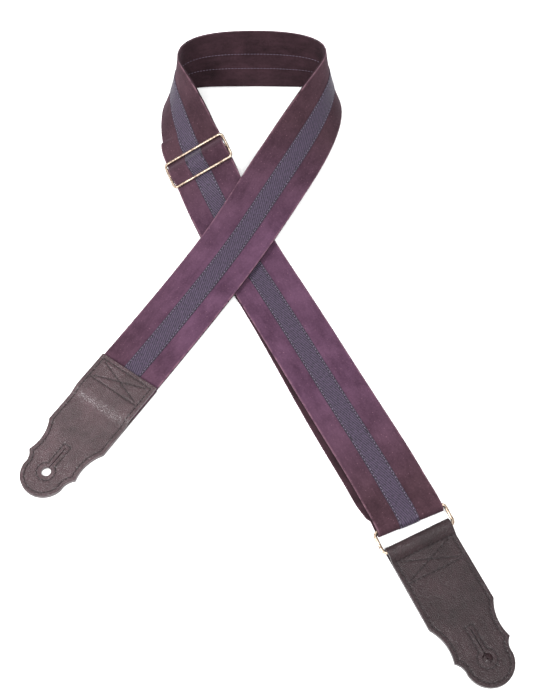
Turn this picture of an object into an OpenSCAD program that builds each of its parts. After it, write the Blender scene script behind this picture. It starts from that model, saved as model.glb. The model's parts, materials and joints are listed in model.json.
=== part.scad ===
// Guitar strap: a long three-layer suede band with a stitched ribbon, laid in a crossed loop.
// One end is sewn into a leather end tab. The other end runs through a wire slider, folds round
// a rectangular ring and returns underneath to the slider's middle bar, so the length adjusts.
// A second leather tab folds round the ring. Both tabs have a slit hole for a strap button.

/* [Strap] */
// Width of the suede band
strap_w = 50; // [38:1:64]
// Thickness of the suede face
face_t = 0.8; // [0.6:0.1:1.2]
// Thickness of the webbing between the suede layers
core_t = 0.8; // [0.5:0.1:1.2]
// Thickness of the suede backing
back_t = 0.8; // [0.6:0.1:1.2]
// Length of band sewn inside the fixed end tab
tab_overlap = 28; // [22:1:32]
// How far the returning ply strays sideways from under the upper ply
tail_drift = 4; // [0:1:8]
// Distance from the crossing to the slider, along the band
slider_back = 71; // [70:1:80]

/* [Ribbon] */
// Width of the woven ribbon
ribbon_w = 15; // [8:0.5:24]
// Thickness of the woven ribbon
ribbon_t = 0.5; // [0.3:0.1:0.8]
// Offset of the ribbon's middle towards the outer edge
ribbon_off = 1.5; // [0:0.5:5]
// Distance from the ribbon's edges to its stitch rows
row_in = 1; // [0.7:0.1:2]
// Thread thickness
thread_d = 0.3; // [0.2:0.05:0.4]

/* [Loop] */
// Size of the laid loop, 100 is as laid
loop_size = 100; // [92:1:130]
// How far the free leg runs on past the crossing, 100 is as laid
leg_size = 100; // [80:1:140]

/* [Hardware] */
// Slider wire diameter
slider_wire = 2.2; // [1.8:0.1:2.6]
// Distance between the slider's outer bars, centre to centre
slider_pitch = 23; // [21:1:30]
// Ring wire diameter
ring_wire = 2.5; // [2:0.1:3.2]
// Distance between the ring's long bars, centre to centre
ring_pitch = 16; // [14:0.5:26]
// Sideways play of the free tab on the ring's bar
side_play = 0.8; // [0.3:0.1:2]
// Corner radius of the slider and the ring, at the wire's middle
wire_corner = 3; // [2.5:0.5:4]

/* [End tabs] */
// Length of a tab from its top edge or fold to its tip
tab_len = 116; // [104:1:150]
// Width of a tab
tab_w = 50; // [44:1:70]
// Leather thickness
leather_t = 1.6; // [1.4:0.1:2.4]
// Radius of the button hole
hole_r = 3.5; // [2.5:0.1:4.5]
// Distance from the tip to the middle of the button hole
hole_in = 19.5; // [17:0.5:24]
// Length of the slit running back from the button hole
slit_len = 22; // [10:1:26]
// Stitch pitch
stitch_p = 3.6; // [2.5:0.1:5]

/* [Hidden] */
$fn = 48;

gap = 0.3; // running clearance between pieces that move on each other
ply_gap = 0.1; // glue line between sewn plies
strap_t = face_t + core_t + back_t;
half_t = strap_t / 2;
half_w = strap_w / 2;
rib_top = half_t + ribbon_t;
stack = strap_t + gap; // pitch of the two plies of the adjustable leg
over = stack + strap_t + ribbon_t + thread_d + gap; // height where one leg lies on the other

// Laid route of the band's middle line: x, y, height of the lower edge, roll in degrees.
// The crossing is near [-25, 94]. The roll lifts the inner edge, and passes 90 round the lobes.
place = [8.4, -9.5]; // brings the middle of the whole part's box to the origin
crossing = [-25, 94] + place;
seat = leather_t + ply_gap;
start_pts = [[-158.5, -98.5, seat, 0], [-131.5, -59.5, seat, 0], [-103.5, -20.5, seat + 0.2, 0],
    [-77.3, 17.3, seat - 0.3, 0], [-50, 54, over + 0.4, 0], [-24, 94, over + 1.8, 0]];
loop_pts = [[1, 138, over + 1.8, 10], [30, 186, over, 33], [50, 227, 3, 61], [50, 251, 1, 89],
    [23, 260, 0.5, 109], [-17, 262, 0.5, 114], [-60, 259, 0.5, 105], [-81, 244, 1, 83],
    [-76, 218, 2, 56], [-64, 180, stack + 0.8, 29], [-45, 137, stack + 0.6, 8]];
leg_pts = [[-2.5, 54], [21, 11.5], [44.2, -32.4], [67.2, -74.4], [88.8, -114.6], [105, -156],
    [127, -198]];
route = concat(
    [for (p = start_pts) [p.x + place.x, p.y + place.y, p[2], p[3]]],
    [for (p = loop_pts) [each spread(p, loop_size / 100), p[2], p[3]]],
    [[crossing.x, crossing.y, stack, 0]],
    [for (p = leg_pts) [each spread(p, leg_size / 100), stack, 0]]);
function spread(p, k) = crossing + ([p.x, p.y] + place - crossing) * k;
u_cross = 16;
u_start = 1 - tab_overlap / 47;
u_slider = u_cross - slider_back / (0.44 * loop_size);
u_ring = len(route) - 3.5;

function unit(v) = v / norm(v);
function smooth(t) = let (c = min(1, max(0, t))) c * c * (3 - 2 * c);
function mix(a, b, t) = a * (1 - t) + b * t;
function spline(u) = let (i = min(floor(u), len(route) - 4), t = u - i)
    ((1 - t) ^ 3 * route[i] + (3 * t ^ 3 - 6 * t ^ 2 + 4) * route[i + 1]
    + (-3 * t ^ 3 + 3 * t ^ 2 + 3 * t + 1) * route[i + 2] + t ^ 3 * route[i + 3]) / 6;
function laid(u) = let (q = spline(u))
    [q.x, q.y, q[2] + half_w * sin(q[3]) + half_t * abs(cos(q[3]))];
function ahead(u) = unit(laid(u + 0.01) - laid(u - 0.01));
function across(u) = let (t = ahead(u), h = unit([-t.y, t.x, 0]), r = spline(u)[3])
    h * cos(r) + cross(t, h) * sin(r);

// Frame of the slider: the band runs straight through it, under its outer bars and over its middle
s_p = laid(u_slider);
s_t = unit([ahead(u_slider).x, ahead(u_slider).y, 0.3 * ahead(u_slider).z]);
s_c = unit(across(u_slider) - (across(u_slider) * s_t) * s_t);
s_n = cross(s_t, s_c);
sr = slider_wire / 2;
bar_n = rib_top + thread_d + gap + sr; // height of the slider's bars over the band's middle
loop_out = sr + 0.15 + face_t; // outer radius of the suede loop round the middle bar
hump = bar_n + loop_out + gap + half_t;
hump_half = slider_pitch / 2;
bar_p = s_p + bar_n * s_n;
function beside(u) = abs(u - u_slider) < 1.5 ? (laid(u) - s_p) * s_t : strap_w;
function held(s) = 1 - smooth((abs(s) - hump_half - 4) / 16);
function lift(s) = abs(s) < hump_half ? hump / 2 * (1 + cos(180 * s / hump_half)) : 0;
function through(u) = let (s = beside(u)) mix(laid(u), s_p + s * s_t, held(s)) + lift(s) * s_n;
function cross_dir(u) = mix(across(u), s_c, held(beside(u)));

// Frame of the ring end: the band rises over the ring's bar
end_p = laid(u_ring);
end_t = unit([ahead(u_ring).x, ahead(u_ring).y, 0]);
end_c = [-end_t.y, end_t.x, 0];
bar_z = max(strap_t, leather_t) + ring_wire / 2 + 0.55;
eye_r = bar_z - strap_t; // inner radius of the band's fold round the ring's bar
rise = bar_z + eye_r + half_t - end_p.z;
function mid(u) = let (p = through(u), s = (p - end_p) * end_t)
    p + [0, 0, rise * smooth((s + 26) / 22)];

// One ring of the sweep: [point, across, normal]
function frame(u) = let (t = unit(mid(u + 0.004) - mid(u - 0.004)),
    c0 = cross_dir(u), c = unit(c0 - (c0 * t) * t)) [mid(u), c, cross(t, c)];
function steps(i) = (i == 13 || i == 14) ? 16 : (i > 4 && i < 16) ? 7 : i > 19 ? 8 : (i < 17) ? 4 : 2;
stations = [for (i = [0:len(route) - 4]) for (k = [0:steps(i) - 1]) i + k / steps(i)];
u_split = floor(u_ring) - 0.375; // where the stretch folded over the ring begins
u_tail = u_slider + 0.21;
// The return ply lies a clearance below the upper ply, up to the slider's middle bar
function drift(s) = tail_drift * smooth(s / 30) * (1 - smooth((s - 60) / 170));
function under(f) = [f[0] - stack * f[2] - drift((end_p - f[0]) * end_t) * f[1], f[1], -f[2]];
function back(list) = [for (i = [len(list) - 1:-1:0]) list[i]];
upper_run = concat([frame(u_start)],
    [for (u = stations) if (u > u_start + 0.1 && u <= u_split) frame(u)]);
sewn_run = [for (u = stations) if (u > 4.4 && u < u_slider - 0.75) frame(u)];
turn_up = [for (u = stations) if (u >= u_split && u < u_ring - 0.02) frame(u)];
turn = [for (a = [90:-22.5:-90]) [
    [end_p.x, end_p.y, bar_z] + (eye_r + half_t) * (cos(a) * end_t + [0, 0, sin(a)]),
    end_c, cos(a) * end_t + [0, 0, sin(a)]]];
turn_down = concat([for (s = [4, 12]) [[end_p.x, end_p.y, half_t] - s * end_t, end_c, [0, 0, -1]]],
    back([for (u = stations) if (u >= u_split && u < u_ring - 0.62) under(frame(u))]));
turn_run = concat(turn_up, turn, turn_down);
tail_end = [under(frame(u_tail))];
return_run = concat(back([for (u = stations) if (u > u_tail + 0.02 && u <= u_split) under(frame(u))]),
    tail_end);
ribbon_turn = concat(turn_up, [for (i = [0:5]) turn[i]]);
core_end = [let (t = tail_end[0], d = unit(bar_p - t[0])) [t[0] + 5 * d, t[1], cross(d, t[1])]];

// Sweeps a strip through the rings. lo and hi are the columns across the band on its lower side,
// n0 along the normal, and on its upper side, n1. Plies that touch share the same columns.
module layer(rings, lo, hi, n0, n1, flip = false) {
    a = len(lo);
    k = a + len(hi);
    e = k * (len(rings) - 1);
    cols = concat([for (w = lo) [w, n0]], [for (i = [len(hi) - 1:-1:0]) [hi[i], n1]]);
    pts = [for (f = rings) each [for (q = cols) f[0] + q.x * f[1] + q.y * f[2]]];
    sides = [for (i = [0:len(rings) - 2]) for (j = [0:k - 1])
        let (p = i * k + j, q = i * k + (j + 1) % k)
            each (j < a) != flip ? [[p, q + k, q], [p, p + k, q + k]]
                : [[p, p + k, q], [q, p + k, q + k]]];
    caps = concat([for (j = [0:a - 2]) each [[j, j + 1, k - 1], [e + j + 1, e + j, e + k - 1]]],
        [for (j = [a:k - 2]) each [[a - 1, j, j + 1], [e + a - 1, e + j + 1, e + j]]]);
    polyhedron(pts, concat(sides, caps));
}

// Rectangular wire frame in the XY plane, long bars along Y
module wire_frame(pitch, reach, r) {
    c = min(wire_corner, pitch / 2 - 1);
    for (m = [-1, 1]) {
        translate([m * pitch / 2, 0, 0]) rotate([90, 0, 0]) cylinder(r = r, h = 2 * (reach - c), center = true);
        translate([0, m * reach, 0]) rotate([0, 90, 0]) cylinder(r = r, h = pitch - 2 * c, center = true);
    }
    for (q = [[1, 1, 0], [-1, 1, 90], [-1, -1, 180], [1, -1, 270]])
        translate([q.x * (pitch / 2 - c), q.y * (reach - c), 0]) rotate([0, 0, q[2]])
            rotate_extrude(angle = 90) translate([c, 0]) circle(r = r);
}

// Puts a child in a frame given by its origin and its x and y directions
module framed(o, x, y) {
    z = cross(x, y);
    multmatrix([[x.x, y.x, z.x, o.x], [x.y, y.y, z.y, o.y], [x.z, y.z, z.z, o.z], [0, 0, 0, 1]]) children();
}
module turned(o, a) translate(o) rotate([0, 0, a]) children();

// The slider's own frame: x along the band towards the ring, y across it
slider_reach = half_w + gap + sr;
tail_in = let (d = tail_end[0][0] - bar_p) [d * s_t, d * s_n];
loop_angle = atan2(tail_in.y, tail_in.x);
loop_len = norm(tail_in) - gap;
module loop_profile() difference() {
    union() {
        circle(r = loop_out);
        translate([0, -half_t]) square([loop_len, strap_t]);
    }
    circle(r = sr + 0.15);
    translate([0, -core_t / 2]) square([loop_len + 1, core_t]);
}
module in_loop() framed(bar_p, s_t, s_c) rotate([0, -loop_angle, 0]) children();

// Ring end frame: origin at the middle of the ring's upper bar, on the floor
rr = ring_wire / 2;
ring_at = [end_p.x, end_p.y, 0];
ring_a = atan2(end_t.y, end_t.x) + 1;
half_tab = tab_w / 2;
ring_reach = max(half_w, half_tab) + side_play + gap + rr;
free_eye = bar_z - leather_t;
free_a = ring_a + 2.3;
free_at = ring_at + ring_pitch * [cos(ring_a), sin(ring_a), 0]
    + 0.6 * side_play * [sin(ring_a), -cos(ring_a), 0] - bar_z * [cos(free_a), sin(free_a), 0];
fixed_at = [laid(1).x, laid(1).y, 0];
fixed_a = atan2(-ahead(1).y, -ahead(1).x);

// Plan outline of a tab: x from its top edge to its tip, with two scoops and a round tip
tip_r = 0.343 * tab_w;
tip_x = tab_len - tip_r;
hole_x = tab_len - hole_in;
cusp_1 = [tab_len - 53, half_tab];
cusp_2 = [tab_len - 26, 0.851 * half_tab];
function scoop(a, b, sag) = let (d = b - a, l = norm(d), r = (l * l / 4 + sag * sag) / (2 * sag),
    n = [-d.y, d.x] / l) [each ((a + b) / 2 + (r - sag) * n), r];
scoop_1 = scoop(cusp_1, cusp_2, 3.2);
scoop_2 = scoop(cusp_2, [tip_x, tip_r - 0.2], 1.2);
module outline(x0) difference() {
    union() {
        translate([x0, -half_tab]) square([cusp_2.x - x0, tab_w]);
        translate([cusp_2.x - 1, -cusp_2.y]) square([tip_x - cusp_2.x + 1, 2 * cusp_2.y]);
        translate([tip_x, 0]) circle(r = tip_r);
    }
    for (m = [-1, 1]) {
        translate([scoop_1.x, m * scoop_1.y]) circle(r = scoop_1[2]);
        translate([scoop_2.x, m * scoop_2.y]) circle(r = scoop_2[2]);
    }
    translate([hole_x, 0]) circle(r = hole_r);
    translate([hole_x - slit_len, -0.3]) square([slit_len, 0.6]);
}

// Leather that steps down from height z0 to lie on the ply below
flat_z = leather_t + ply_gap;
fixed_z0 = seat + strap_t + ribbon_t + thread_d + 0.2;
fixed_x0 = tab_overlap + 1;
free_z0 = bar_z + free_eye;
free_x0 = bar_z + 0.4;
function step_z(x, x0, z0, run) = flat_z + (z0 - flat_z) * (1 - smooth((x - x0) / run));
function fixed_top(x) = step_z(x, fixed_x0, fixed_z0, 11) + leather_t;
function free_top(x) = step_z(x, free_x0, free_z0, 9) + leather_t;
module step_leather(x_edge, x0, z0, run) {
    low = [[x_edge, z0], for (i = [0:8]) let (x = x0 + run * i / 8) [x, step_z(x, x0, z0, run)],
        [tab_len + 1, flat_z]];
    intersection() {
        rotate([90, 0, 0]) linear_extrude(height = tab_w + 2, center = true)
            polygon(concat(low, [for (i = [len(low) - 1:-1:0]) low[i] + [0, leather_t]]));
        linear_extrude(height = z0 + leather_t + 1) outline(x_edge - 0.01);
    }
}
module free_leather() {
    step_leather(bar_z, free_x0, free_z0, 9);
    linear_extrude(height = leather_t) outline(bar_z);
    difference() {
        translate([bar_z, 0, bar_z]) rotate([90, 0, 0]) cylinder(r = bar_z, h = tab_w, center = true);
        translate([bar_z, 0, bar_z]) rotate([90, 0, 0]) cylinder(r = free_eye, h = tab_w + 1, center = true);
        translate([bar_z, -tab_w, -1]) cube([tab_w, 2 * tab_w, 4 * bar_z]);
    }
}

// Stitches: short dashes lying on the leather, along a run of points
module dash(p, a, slope) let (x = unit([cos(a), sin(a), slope * cos(a)]), z = unit([-slope, 0, 1]))
    framed(p, x, cross(z, x)) translate([-1.2, -thread_d, 0]) cube([2.4, 2 * thread_d, thread_d]);
function line_run(a, b) = let (n = max(1, round(norm(b - a) / stitch_p)), d = (b - a) / n)
    [for (i = [0:n - 1]) [each (a + (i + 0.5) * d), atan2(d.y, d.x)]];
function arc_run(c, r, a0, a1) = let (n = max(1, round(abs(a1 - a0) * PI / 180 * r / stitch_p)),
    d = (a1 - a0) / n) [for (i = [0:n - 1]) let (a = a0 + (i + 0.5) * d)
        [c.x + r * cos(a), c.y + r * sin(a), a + 90]];
function meet(a, ra, b, rb) = let (d = norm(b - a), e = (b - a) / d,
    s = (ra * ra - rb * rb + d * d) / (2 * d), h = sqrt(max(0, ra * ra - s * s)))
    a + s * e + h * [e.y, -e.x];
inset = 3;
function edge_run(x0) = let (y = half_tab - inset, a = [scoop_1.x, scoop_1.y], b = [scoop_2.x, scoop_2.y],
    ra = scoop_1[2] + inset, rb = scoop_2[2] + inset, t = [tip_x, 0], rt = tip_r - inset,
    xa = a.x - sqrt(ra * ra - (a.y - y) ^ 2), m1 = meet(a, ra, b, rb),
    m2 = t + rt * unit(b - t))
    concat(line_run([x0, y], [xa, y]),
        arc_run(a, ra, atan2(y - a.y, xa - a.x), atan2(m1.y - a.y, m1.x - a.x)),
        arc_run(b, rb, atan2(m1.y - b.y, m1.x - b.x), atan2(m2.y - b.y, m2.x - b.x)),
        arc_run(t, rt, atan2(m2.y, m2.x - t.x), 0));
function both(run) = concat(run, [for (r = run) [r.x, -r.y, -r[2]]]);
function edge_all(x0) = concat(both(edge_run(x0)), line_run([x0, inset - half_tab], [x0, half_tab - inset]));
function box_all(xa, xb) = let (y = half_tab - inset - 1.5) concat(
    line_run([xb, -y], [xb, y]), line_run([xa + 2, 2 - y], [xb - 2, y - 2]),
    line_run([xa + 2, y - 2], [xb - 2, 2 - y]));
function hole_all() = let (r = hole_r + 3.3, w = 3, e = hole_x - slit_len - 2, b = asin(w / r)) concat(
    arc_run([hole_x, 0], r, -180 + b, 180 - b),
    both(line_run([e, w], [hole_x - r * cos(b), w])), [[e - 0.5, 0, 90]]);
module fixed_stitches(run) for (q = run)
    dash([q.x, q.y, fixed_top(q.x)], q[2], (fixed_top(q.x + 0.1) - fixed_top(q.x - 0.1)) / 0.2);
module free_stitches(run) for (q = run)
    dash([q.x, q.y, free_top(q.x)], q[2], (free_top(q.x + 0.1) - free_top(q.x - 0.1)) / 0.2);

suede = [0.34, 0.22, 0.27];
webbing_col = [0.16, 0.14, 0.16];
ribbon_col = [0.24, 0.21, 0.32];
leather_col = [0.3, 0.23, 0.24];
thread_col = [0.2, 0.14, 0.18];
brass = [0.8, 0.7, 0.55];
rib_0 = -ribbon_off - ribbon_w / 2;
rib_1 = -ribbon_off + ribbon_w / 2;
row_0 = rib_0 + row_in; // stitch rows along the ribbon
row_1 = rib_1 - row_in;
rows = [row_0 - thread_d, row_0 + thread_d, row_1 - thread_d, row_1 + thread_d];

face = [half_t - face_t, half_t];
core = [back_t - half_t, half_t - face_t];
backing = [-half_t, back_t - half_t];
plain = [-half_w, rib_0, rib_1, half_w];
sewn = [-half_w, rib_0, each rows, rib_1, half_w];
module ply(rings, n, flip = false) layer(rings, plain, plain, n[0], n[1], flip);
module strap_face() color(suede) ply(upper_run, face);
module strap_core() color(webbing_col) ply(upper_run, core);
module strap_backing() color(suede * 0.6)
    layer(upper_run, sewn, plain, backing[0], backing[1]);
module turn_face() color(suede) ply(turn_run, face);
module turn_core() color(webbing_col) ply(turn_run, core);
module turn_backing() color(suede * 0.6) ply(turn_run, backing);
module return_face() color(suede) ply(return_run, face, true);
module return_core() color(webbing_col) ply(concat(return_run, core_end), core, true);
module return_backing() color(suede * 0.6) ply(return_run, backing, true);
module ribbon(rings) color(ribbon_col)
    layer(rings, [rib_0, rib_1], [rib_0, each rows, rib_1], half_t, rib_top);
function row(w) = [w - thread_d, w + thread_d];
module ribbon_thread(rings, w) color(thread_col)
    layer(rings, row(w), row(w), rib_top, rib_top + thread_d);
module backing_thread(w) color(thread_col)
    layer(sewn_run, row(w), row(w), -half_t - thread_d, -half_t);
module slider_loop() color(suede) in_loop()
    rotate([90, 0, 0]) linear_extrude(height = strap_w, center = true) loop_profile();
module slider_loop_thread() color(thread_col) in_loop()
    for (m = [-1, 1]) for (q = line_run([0, 2 - half_w], [0, half_w - 2]))
        translate([loop_len - 3.6 - thread_d, q.y - 1.2, m > 0 ? half_t : -half_t - thread_d])
            cube([2 * thread_d, 2.4, thread_d]);
module slider_frame() color(brass) framed(bar_p, s_t, s_c) wire_frame(slider_pitch, slider_reach, sr);
module slider_bar() color(brass) framed(bar_p, s_t, s_c)
    rotate([90, 0, 0]) cylinder(r = sr, h = 2 * (slider_reach - sr + 0.4), center = true);
module ring() color(brass) turned(ring_at, ring_a)
    translate([ring_pitch / 2, 0, bar_z]) wire_frame(ring_pitch, ring_reach, rr);
module fixed_tab_top() color(leather_col) turned(fixed_at, fixed_a)
    step_leather(0, fixed_x0, fixed_z0, 11);
module fixed_tab_bottom() color(leather_col) turned(fixed_at, fixed_a)
    linear_extrude(height = leather_t) outline(0);
module free_tab_leather() color(leather_col) turned(free_at, free_a) free_leather();

strap_face();
strap_core();
strap_backing();
turn_face();
turn_core();
turn_backing();
return_face();
return_core();
return_backing();
ribbon(upper_run);
ribbon(ribbon_turn);  // turn_ribbon
ribbon_thread(upper_run, row_1);  // ribbon_thread_left
ribbon_thread(upper_run, row_0);  // ribbon_thread_right
ribbon_thread(ribbon_turn, row_1);  // turn_thread_left
ribbon_thread(ribbon_turn, row_0);  // turn_thread_right
backing_thread(row_1);  // backing_thread_left
backing_thread(row_0);  // backing_thread_right
slider_loop();
slider_loop_thread();
slider_frame();
slider_bar();
ring();
fixed_tab_top();
fixed_tab_bottom();
color(thread_col) turned(fixed_at, fixed_a) fixed_stitches(edge_all(3));  // fixed_tab_edge_thread
color(thread_col) turned(fixed_at, fixed_a) fixed_stitches(box_all(3, 20));  // fixed_tab_box_thread
color(thread_col) turned(fixed_at, fixed_a) fixed_stitches(hole_all());  // fixed_tab_hole_thread
free_tab_leather();
color(thread_col) turned(free_at, free_a) free_stitches(edge_all(11));  // free_tab_edge_thread
color(thread_col) turned(free_at, free_a) free_stitches(box_all(11, 29));  // free_tab_box_thread
color(thread_col) turned(free_at, free_a) free_stitches(hole_all());  // free_tab_hole_thread
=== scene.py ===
import json
from bisect import bisect_right
from math import asin, atan2, ceil, cos, exp, floor, pi, radians, sin, sqrt

import bpy
import bmesh
from mathutils import Matrix, Vector, kdtree, noise


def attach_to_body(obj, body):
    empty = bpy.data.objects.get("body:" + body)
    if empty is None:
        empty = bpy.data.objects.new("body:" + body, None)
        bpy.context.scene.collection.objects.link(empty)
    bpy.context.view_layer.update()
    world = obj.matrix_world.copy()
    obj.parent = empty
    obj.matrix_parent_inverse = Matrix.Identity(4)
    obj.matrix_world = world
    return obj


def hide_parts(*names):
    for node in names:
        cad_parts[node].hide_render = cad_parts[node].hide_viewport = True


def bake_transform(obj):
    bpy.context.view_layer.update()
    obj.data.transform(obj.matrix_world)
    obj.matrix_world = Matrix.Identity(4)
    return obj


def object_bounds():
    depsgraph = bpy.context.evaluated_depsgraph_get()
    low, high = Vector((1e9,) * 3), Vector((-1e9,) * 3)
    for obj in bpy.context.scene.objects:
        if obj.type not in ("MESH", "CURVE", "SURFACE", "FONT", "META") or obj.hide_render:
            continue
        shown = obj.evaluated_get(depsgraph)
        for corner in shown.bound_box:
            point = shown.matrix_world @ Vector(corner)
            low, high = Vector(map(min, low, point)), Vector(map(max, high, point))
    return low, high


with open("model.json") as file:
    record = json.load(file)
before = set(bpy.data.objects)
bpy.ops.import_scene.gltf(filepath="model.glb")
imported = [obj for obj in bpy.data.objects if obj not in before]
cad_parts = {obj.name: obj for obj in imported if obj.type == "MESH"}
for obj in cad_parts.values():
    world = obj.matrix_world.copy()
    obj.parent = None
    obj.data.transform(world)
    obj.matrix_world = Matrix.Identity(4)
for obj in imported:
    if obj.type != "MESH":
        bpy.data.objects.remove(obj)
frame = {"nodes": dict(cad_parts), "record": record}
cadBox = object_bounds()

mm = 0.001
up = Vector((0, 0, 1))


# ---- Laid route of the band, the same as the frame's: x, y, height of the lower edge, roll
band = {
    "width": 50, "face": 0.8, "core": 0.8, "back": 0.8,
    "clearance": 0.3, "glue": 0.1, "leather": 1.6, "ribbon": 0.5, "thread": 0.3,
    "overlap": 28, "sliderBack": 71, "drift": 4,
    "place": (8.4, -9.5), "tabSpan": 47, "loopSpan": 44, "crossingAt": 16, "firstCrossing": 4,
    "start": [(-158.5, -98.5, 1.7), (-131.5, -59.5, 1.7), (-103.5, -20.5, 1.9),
              (-77.3, 17.3, 1.4), (-50, 54, 6.6), (-24, 94, 8)],
    "loop": [(1, 138, 8, 10), (30, 186, 6.2, 33), (50, 227, 3, 61), (50, 251, 1, 89),
             (23, 260, 0.5, 109), (-17, 262, 0.5, 114), (-60, 259, 0.5, 105), (-81, 244, 1, 83),
             (-76, 218, 2, 56), (-64, 180, 3.5, 29), (-45, 137, 3.3, 8)],
    "leg": [(-25, 94), (-2.5, 54), (21, 11.5), (44.2, -32.4), (67.2, -74.4), (88.8, -114.6),
            (105, -156), (127, -198)],
}
thickness = band["face"] + band["core"] + band["back"]
halfThick, halfWidth = thickness / 2, band["width"] / 2
plyPitch = thickness + band["clearance"]
ribbonTop = halfThick + band["ribbon"]


def routePoints():
    points = [(x, y, z, 0) for x, y, z in band["start"]] + band["loop"]
    points += [(x, y, plyPitch, 0) for x, y in band["leg"]]
    px, py = band["place"]
    return [Vector((x + px, y + py, z, radians(roll))) for x, y, z, roll in points]


route = routePoints()
uStart = 1 - band["overlap"] / band["tabSpan"]
uSlider = band["crossingAt"] - band["sliderBack"] / band["loopSpan"]
uRing = len(route) - 3.5


def smooth(t):
    t = min(1, max(0, t))
    return t * t * (3 - 2 * t)


def onRoute(u):
    i = min(int(u), len(route) - 4)
    t = u - i
    shares = ((1 - t) ** 3, 3 * t ** 3 - 6 * t ** 2 + 4, -3 * t ** 3 + 3 * t ** 2 + 3 * t + 1, t ** 3)
    return sum((p * w for p, w in zip(route[i:i + 4], shares)), Vector((0, 0, 0, 0))) / 6


def laid(u):
    q = onRoute(u)
    return Vector((q.x, q.y, q.z + halfWidth * sin(q.w) + halfThick * abs(cos(q.w))))


def ahead(u):
    return (laid(u + 0.01) - laid(u - 0.01)).normalized()


def acrossBand(u):
    t = ahead(u)
    level = Vector((-t.y, t.x, 0)).normalized()
    roll = onRoute(u).w
    return level * cos(roll) + t.cross(level) * sin(roll)


# The band runs straight through the slider: under its outer bars and over its middle bar
slider = {"wire": 2.2, "pitch": 23, "loopGap": 0.15, "grip": 4, "settle": 16}
wireR = slider["wire"] / 2
sliderAt = laid(uSlider)
sliderAlong = Vector(frame["record"]["behaviour"]["joints"][0]["axis"]).normalized()
sliderAcross = acrossBand(uSlider)
sliderAcross = (sliderAcross - sliderAcross.dot(sliderAlong) * sliderAlong).normalized()
sliderUp = sliderAlong.cross(sliderAcross)
barHeight = ribbonTop + band["thread"] + band["clearance"] + wireR
loopOut = wireR + slider["loopGap"] + band["face"]
hump = barHeight + loopOut + band["clearance"] + halfThick
barAt = sliderAt + barHeight * sliderUp


def held(s):
    return 1 - smooth((abs(s) - slider["pitch"] / 2 - slider["grip"]) / slider["settle"])


def besideSlider(u):
    return (laid(u) - sliderAt).dot(sliderAlong) if abs(u - uSlider) < 1.5 else band["width"]


def throughSlider(u):
    s = besideSlider(u)
    p = laid(u).lerp(sliderAt + s * sliderAlong, held(s))
    half = slider["pitch"] / 2
    return p + (hump / 2 * (1 + cos(pi * s / half)) if abs(s) < half else 0) * sliderUp


# At the ring the band rises over the upper bar and folds round it
ring = {"wire": 2.5, "spare": 0.55, "climb": 22, "climbFrom": 26, "pitch": 16}
barZ = thickness + ring["wire"] / 2 + ring["spare"]
eyeR = barZ - thickness
endAt = laid(uRing)
endAlong = Vector((ahead(uRing).x, ahead(uRing).y, 0)).normalized()
endAcross = Vector((-endAlong.y, endAlong.x, 0))
climb = barZ + eyeR + halfThick - endAt.z


def middle(u):
    p = throughSlider(u)
    return p + climb * smooth(((p - endAt).dot(endAlong) + ring["climbFrom"]) / ring["climb"]) * up


def section(u):
    t = (middle(u + 0.004) - middle(u - 0.004)).normalized()
    side = acrossBand(u).lerp(sliderAcross, held(besideSlider(u)))
    side = (side - side.dot(t) * t).normalized()
    return middle(u), side, t.cross(side)


def underneath(f):
    s = (endAt - f[0]).dot(endAlong)
    stray = band["drift"] * smooth(s / 30) * (1 - smooth((s - 60) / 170))
    return f[0] - plyPitch * f[2] - stray * f[1], f[1], -f[2]


def span(a, b, count):
    return [a + (b - a) * i / count for i in range(count + 1)]


class Run:
    # A line of cross sections with the length along it, to lay flat strips on
    def __init__(self, sections):
        self.sections = sections
        self.lengths = [0.0]
        for a, b in zip(sections, sections[1:]):
            self.lengths.append(self.lengths[-1] + (b[0] - a[0]).length)

    def at(self, s):
        i = min(max(bisect_right(self.lengths, s) - 1, 0), len(self.lengths) - 2)
        t = (s - self.lengths[i]) / (self.lengths[i + 1] - self.lengths[i])
        return [a.lerp(b, t) for a, b in zip(self.sections[i], self.sections[i + 1])]

    def lay(self, s, across, out):
        p, side, normal = self.at(s)
        return (p + across * side + out * normal) * mm


def layRoute():
    upper = [section(u) for u in span(uStart, uRing - 0.02, 1900)]
    centre = Vector((endAt.x, endAt.y, barZ))
    fold = []
    for a in span(pi / 2, -pi / 2, 30):
        spoke = cos(a) * endAlong + sin(a) * up
        fold.append((centre + (eyeR + halfThick) * spoke, endAcross, spoke))
    floorRun = [(Vector((endAt.x, endAt.y, halfThick)) - s * endAlong, endAcross, -up)
                for s in span(1, 10, 9)]
    lower = [underneath(section(u)) for u in span(uRing - 0.3, uSlider + 0.21, 700)]
    level = [(Vector((p.x, p.y, min(p.z, halfThick))), c, n) if (endAt - p).dot(endAlong) < 30
             else (p, c, n) for p, c, n in lower]
    return Run(upper + fold + floorRun + level), len(upper), len(upper) + len(fold)


bandRun, foldFirst, foldLast = layRoute()
upperSections = bandRun.sections[:foldFirst]


def nearest(point, sections):
    return min(range(len(sections)), key=lambda i: (sections[i][0] - point).length)


sSlider = bandRun.lengths[nearest(sliderAt + hump * sliderUp, upperSections)]
sFold = bandRun.lengths[foldFirst]
sUnder = bandRun.lengths[foldLast]
sEnd = bandRun.lengths[-1]
sCross = bandRun.lengths[nearest(laid(band["firstCrossing"]), upperSections)]
print("route laid: %.0f mm of band, slider at %.0f, fold at %.0f" % (sEnd, sSlider, sFold))


def ripple(s, across):
    # The slow unevenness of a used band, the same for every layer
    return 0.09 * noise.noise(Vector((s / 17, across / 22, 3.1)))


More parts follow.
